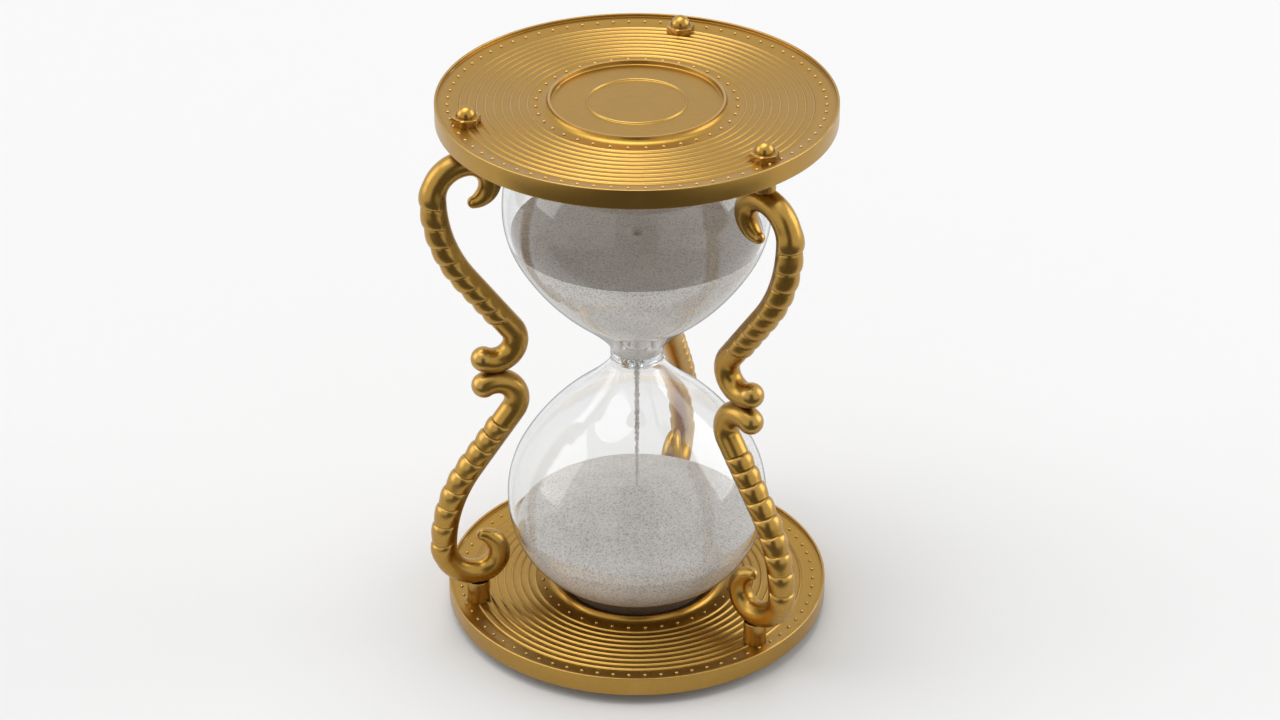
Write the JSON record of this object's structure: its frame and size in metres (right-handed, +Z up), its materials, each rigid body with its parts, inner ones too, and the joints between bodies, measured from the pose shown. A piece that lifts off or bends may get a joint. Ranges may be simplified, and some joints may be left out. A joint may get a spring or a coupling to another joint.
{
  "type": "hourglass",
  "caption": "Hourglass: two glass bulbs with sand between round ridged brass plates, held apart by scroll-shaped columns with domed cap nuts.",
  "frame": {"origin": "on the glass's axis, in the plane that the three lower cap nuts stand on", "axes": "+Z up along the glass's axis; the first column stands 75 degrees round from +X towards +Y"},
  "size_m": [0.1293, 0.1293, 0.1883],
  "materials": {
    "plates": "satin antique brass",
    "scrolls": "polished antique brass",
    "posts": "satin antique brass",
    "nuts": "polished brass",
    "dowels": "plain steel",
    "glass": "clear blown glass",
    "pads": "dark felt",
    "sand": "fine pale grey sand"
  },
  "bodies": {
    "root": {"base_plate": "plates", "bottom_cap_nut_1": "nuts", "bottom_cap_nut_2": "nuts", "bottom_cap_nut_3": "nuts", "lower_bulb": "glass", "lower_post_1": "posts", "lower_post_2": "posts", "lower_post_3": "posts", "lower_scroll_1": "scrolls", "lower_scroll_2": "scrolls", "lower_scroll_3": "scrolls", "lower_seat_pad": "pads", "neck_collar": "glass", "orifice_disc": "glass", "sand_lower": "sand", "sand_stream": "sand", "sand_upper": "sand", "scroll_dowel_1": "dowels", "scroll_dowel_2": "dowels", "scroll_dowel_3": "dowels", "top_cap_nut_1": "nuts", "top_cap_nut_2": "nuts", "top_cap_nut_3": "nuts", "top_plate": "plates", "upper_bulb": "glass", "upper_post_1": "posts", "upper_post_2": "posts", "upper_post_3": "posts", "upper_scroll_1": "scrolls", "upper_scroll_2": "scrolls", "upper_scroll_3": "scrolls", "upper_seat_pad": "pads"}
  },
  "joints": []
}
